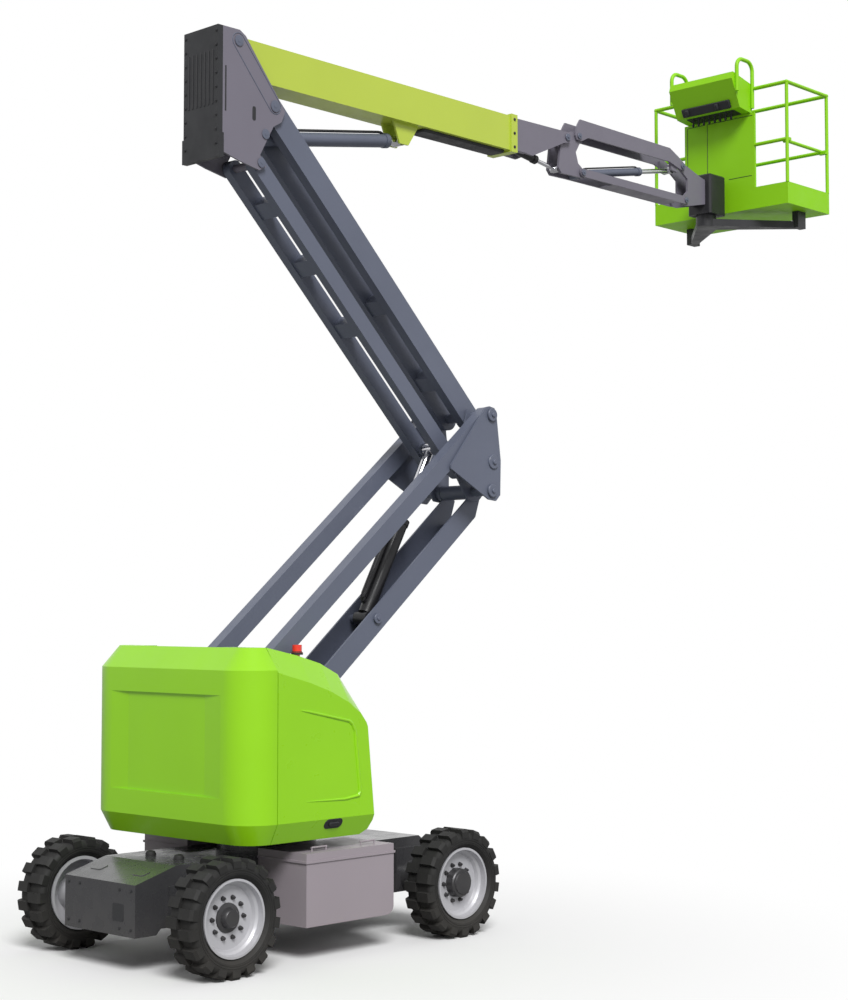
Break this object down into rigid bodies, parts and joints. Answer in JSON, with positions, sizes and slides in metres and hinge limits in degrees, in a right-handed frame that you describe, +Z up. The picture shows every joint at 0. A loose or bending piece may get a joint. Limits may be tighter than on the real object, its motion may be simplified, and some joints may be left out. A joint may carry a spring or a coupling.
{
  "type": "articulating boom lift",
  "caption": "Self-propelled articulating boom lift with folding parallel risers, telescoping boom, levelled jib, rotating work platform, slewing turntable and steered wheels.",
  "frame": {"origin": "on the ground, midway between the axles and between the left and right wheels, under the slew axis", "axes": "+X forward along the boom at rest, +Y to the machine's left, +Z up"},
  "size_m": [7.312, 1.74, 6.947],
  "materials": {
    "chassis_paint": "satin charcoal paint",
    "battery_paint": "satin mauve-grey paint",
    "cast_green": "gloss green paint over cast iron",
    "cover_green": "gloss green moulding",
    "boom_green": "gloss yellow-green paint",
    "platform_green": "gloss green paint over aluminium",
    "arm_grey": "satin blue-grey paint",
    "black_paint": "satin black paint",
    "black_plastic": "matt black moulding",
    "chrome_rod": "hard chrome",
    "rim_silver": "satin silver paint",
    "tyre": "matt black rubber",
    "beacon_lens": "gloss red lens"
  },
  "bodies": {
    "chassis": {"chassis_frame": "chassis_paint", "steer_yoke_right": "chassis_paint", "steer_yoke_left": "chassis_paint", "drive_motor_right": "chassis_paint", "drive_motor_left": "chassis_paint", "slew_ring": "chassis_paint", "battery_box_right": "battery_paint", "battery_lid_right": "battery_paint", "battery_box_left": "battery_paint", "battery_lid_left": "battery_paint"},
    "turntable": {"turntable_frame": "chassis_paint", "counterweight": "cast_green", "power_pack": "chassis_paint", "hydraulic_tank": "chassis_paint", "beacon": "beacon_lens"},
    "lower_arm": {"lower_arm": "arm_grey"},
    "lower_link": {"lower_link_right": "arm_grey", "lower_link_left": "arm_grey"},
    "knuckle": {"knuckle_frame": "arm_grey"},
    "riser_barrel": {"riser_cylinder_barrel": "black_paint"},
    "riser_rod": {"riser_cylinder_rod": "chrome_rod"},
    "upper_arm": {"upper_arm": "arm_grey"},
    "upper_link": {"upper_link": "arm_grey"},
    "head": {"head_frame": "arm_grey", "head_cover": "black_plastic"},
    "boom": {"main_boom": "boom_green"},
    "lift_barrel": {"lift_cylinder_barrel": "arm_grey"},
    "lift_rod": {"lift_cylinder_rod": "chrome_rod"},
    "extension": {"boom_extension": "arm_grey"},
    "level_barrel": {"level_cylinder_barrel": "black_paint"},
    "level_rod": {"level_cylinder_rod": "chrome_rod"},
    "jib_base": {"jib_base": "arm_grey"},
    "jib_upper": {"jib_upper_arm": "arm_grey"},
    "jib_lower": {"jib_lower_arm": "arm_grey"},
    "jib_barrel": {"jib_cylinder_barrel": "arm_grey"},
    "jib_rod": {"jib_cylinder_rod": "chrome_rod"},
    "jib_end": {"jib_end": "arm_grey", "rotator": "black_paint"},
    "platform": {"platform_fork": "black_paint", "platform_floor": "platform_green", "platform_rails": "platform_green", "platform_panel": "platform_green", "control_console": "platform_green"},
    "gate": {"platform_gate": "platform_green"},
    "hood_right": {"hood_right": "cover_green"},
    "knuckle_right": {"steer_knuckle_right": "chassis_paint"},
    "steer_rod_right": {"steer_rod_right": "chassis_paint"},
    "wheel_rear_right": {"tyre_rear_right": "tyre", "rim_rear_right": "rim_silver"},
    "wheel_front_right": {"tyre_front_right": "tyre", "rim_front_right": "rim_silver"},
    "hood_left": {"hood_left": "cover_green"},
    "knuckle_left": {"steer_knuckle_left": "chassis_paint"},
    "steer_rod_left": {"steer_rod_left": "chassis_paint"},
    "wheel_rear_left": {"tyre_rear_left": "tyre", "rim_rear_left": "rim_silver"},
    "wheel_front_left": {"tyre_front_left": "tyre", "rim_front_left": "rim_silver"}
  },
  "joints": [
    {"name": "slew", "type": "hinge", "parent": "chassis", "child": "turntable", "pos_m": [0, 0, 0.79], "axis": [0, 0, 1], "range_deg": [-177.5, 177.5]},
    {"name": "riser_lift", "type": "hinge", "parent": "turntable", "child": "lower_arm", "pos_m": [-0.48, 0, 1.092], "axis": [0, -1, 0], "range_deg": [-38.8, 28]},
    {"name": "lower_link_turn", "type": "hinge", "parent": "turntable", "child": "lower_link", "pos_m": [-0.48, 0, 1.645], "axis": [0, -1, 0], "range_deg": [-39.3, 28.5]},
    {"name": "knuckle_level", "type": "hinge", "parent": "lower_arm", "child": "knuckle", "pos_m": [1.851, 0, 3.036], "axis": [0, -1, 0], "range_deg": [-28.5, 39.3]},
    {"name": "upper_arm_turn", "type": "hinge", "parent": "knuckle", "child": "upper_arm", "pos_m": [1.851, 0, 3.589], "axis": [0, -1, 0], "range_deg": [-31.8, 43.88]},
    {"name": "upper_link_turn", "type": "hinge", "parent": "knuckle", "child": "upper_link", "pos_m": [1.732, 0, 3.189], "axis": [0, -1, 0], "range_deg": [-31.8, 43.88]},
    {"name": "head_level", "type": "hinge", "parent": "upper_arm", "child": "head", "pos_m": [-0.107, 0, 5.513], "axis": [0, -1, 0], "range_deg": [-43.88, 31.8]},
    {"name": "riser_barrel_turn", "type": "hinge", "parent": "lower_arm", "child": "riser_barrel", "pos_m": [0.897, 0, 2.114], "axis": [0, -1, 0], "range_deg": [-0.6, 0.64]},
    {"name": "riser_rod_slide", "type": "slide", "parent": "riser_barrel", "child": "riser_rod", "axis": [0.483, 0, 0.8756], "range_m": [-0.4002, 0.2902]},
    {"name": "boom_lift", "type": "hinge", "parent": "head", "child": "boom", "pos_m": [-0.426, 0, 5.885], "axis": [0, -1, 0], "range_deg": [0, 70]},
    {"name": "lift_barrel_turn", "type": "hinge", "parent": "head", "child": "lift_barrel", "pos_m": [-0.19, 0, 5.31], "axis": [0, -1, 0], "range_deg": [-0.5, 63.5]},
    {"name": "lift_rod_slide", "type": "slide", "parent": "lift_barrel", "child": "lift_rod", "axis": [0.9854, 0, 0.1701], "range_m": [-0.005, 0.7136]},
    {"name": "boom_extend", "type": "slide", "parent": "boom", "child": "extension", "axis": [1, 0, 0], "range_m": [0, 1.15]},
    {"name": "level_barrel_turn", "type": "hinge", "parent": "extension", "child": "level_barrel", "pos_m": [2.45, 0, 5.735], "axis": [0, -1, 0], "range_deg": [-0.5, 20.98]},
    {"name": "level_rod_slide", "type": "slide", "parent": "level_barrel", "child": "level_rod", "axis": [0.9903, 0, -0.139], "range_m": [-0.2066, 0.005]},
    {"name": "jib_base_level", "type": "hinge", "parent": "extension", "child": "jib_base", "pos_m": [3.06, 0, 5.905], "axis": [0, -1, 0], "range_deg": [-70.5, 0.5]},
    {"name": "jib_lift", "type": "hinge", "parent": "jib_base", "child": "jib_upper", "pos_m": [3.22, 0, 5.945], "axis": [0, -1, 0], "range_deg": [-60, 65]},
    {"name": "jib_lower_turn", "type": "hinge", "parent": "jib_base", "child": "jib_lower", "pos_m": [3.27, 0, 5.66], "axis": [0, -1, 0], "range_deg": [-60.5, 65.5]},
    {"name": "jib_end_level", "type": "hinge", "parent": "jib_upper", "child": "jib_end", "pos_m": [4.62, 0, 5.945], "axis": [0, -1, 0], "range_deg": [-65.5, 60.5]},
    {"name": "jib_barrel_turn", "type": "hinge", "parent": "jib_base", "child": "jib_barrel", "pos_m": [3.27, 0, 5.66], "axis": [0, -1, 0], "range_deg": [-60.41, 65.41]},
    {"name": "jib_rod_slide", "type": "slide", "parent": "jib_barrel", "child": "jib_rod", "axis": [0.9816, 0, 0.1909], "range_m": [-0.271, 0.2932]},
    {"name": "platform_rotate", "type": "hinge", "parent": "jib_end", "child": "platform", "pos_m": [5.08, 0, 5.56], "axis": [0, 0, 1], "range_deg": [-80, 80]},
    {"name": "gate_lift", "type": "hinge", "parent": "platform", "child": "gate", "pos_m": [5.34, -0.645, 6.205], "axis": [0, -1, 0], "range_deg": [0, 85]},
    {"name": "steer", "type": "hinge", "parent": "chassis", "child": "knuckle_right", "pos_m": [-0.998, -0.52, 0.356], "axis": [0, 0, 1], "range_deg": [-38, 38]},
    {"name": "steer_left", "type": "hinge", "parent": "chassis", "child": "knuckle_left", "pos_m": [-0.998, 0.52, 0.356], "axis": [0, 0, 1], "range_deg": [-38.5, 38.5]},
    {"name": "steer_rod_right_slide", "type": "slide", "parent": "chassis", "child": "steer_rod_right", "axis": [0, 1, 0], "range_m": [-0.085, 0.085]},
    {"name": "steer_rod_left_slide", "type": "slide", "parent": "chassis", "child": "steer_rod_left", "axis": [0, 1, 0], "range_m": [-0.085, 0.085]},
    {"name": "hood_right_open", "type": "hinge", "parent": "turntable", "child": "hood_right", "pos_m": [-0.3, -0.404, 1.85], "axis": [-1, 0, 0], "range_deg": [0, 60]},
    {"name": "wheel_rear_right_spin", "type": "hinge", "parent": "knuckle_right", "child": "wheel_rear_right", "pos_m": [-0.998, -0.75, 0.356], "axis": [0, 1, 0], "continuous": true},
    {"name": "wheel_front_right_spin", "type": "hinge", "parent": "chassis", "child": "wheel_front_right", "pos_m": [0.998, -0.75, 0.356], "axis": [0, 1, 0], "continuous": true},
    {"name": "hood_left_open", "type": "hinge", "parent": "turntable", "child": "hood_left", "pos_m": [-0.3, 0.404, 1.85], "axis": [1, 0, 0], "range_deg": [0, 60]},
    {"name": "wheel_rear_left_spin", "type": "hinge", "parent": "knuckle_left", "child": "wheel_rear_left", "pos_m": [-0.998, 0.75, 0.356], "axis": [0, 1, 0], "continuous": true},
    {"name": "wheel_front_left_spin", "type": "hinge", "parent": "chassis", "child": "wheel_front_left", "pos_m": [0.998, 0.75, 0.356], "axis": [0, 1, 0], "continuous": true}
  ],
  "couplings": [
    {"joint": "lower_link_turn", "follows": "riser_lift", "ratio": 1},
    {"joint": "knuckle_level", "follows": "riser_lift", "ratio": -1},
    {"joint": "upper_arm_turn", "follows": "riser_lift", "ratio": -1.118},
    {"joint": "upper_link_turn", "follows": "riser_lift", "ratio": -1.118},
    {"joint": "head_level", "follows": "riser_lift", "ratio": 1.118},
    {"joint": "riser_barrel_turn", "follows": "riser_lift", "ratio": -0.00347},
    {"joint": "riser_rod_slide", "follows": "riser_lift", "m_per_rad": 0.58354},
    {"joint": "lift_barrel_turn", "follows": "boom_lift", "ratio": 0.9},
    {"joint": "lift_rod_slide", "follows": "boom_lift", "m_per_rad": 0.58},
    {"joint": "level_barrel_turn", "follows": "boom_lift", "ratio": 0.29258},
    {"joint": "level_rod_slide", "follows": "boom_lift", "m_per_rad": -0.165},
    {"joint": "jib_base_level", "follows": "boom_lift", "ratio": -1},
    {"joint": "jib_lower_turn", "follows": "jib_lift", "ratio": 1},
    {"joint": "jib_end_level", "follows": "jib_lift", "ratio": -1},
    {"joint": "jib_barrel_turn", "follows": "jib_lift", "ratio": 0.99857},
    {"joint": "jib_rod_slide", "follows": "jib_lift", "m_per_rad": 0.254},
    {"joint": "steer_left", "follows": "steer", "ratio": 1},
    {"joint": "steer_rod_right_slide", "follows": "steer", "m_per_rad": 0.12068},
    {"joint": "steer_rod_left_slide", "follows": "steer", "m_per_rad": 0.12068}
  ]
}
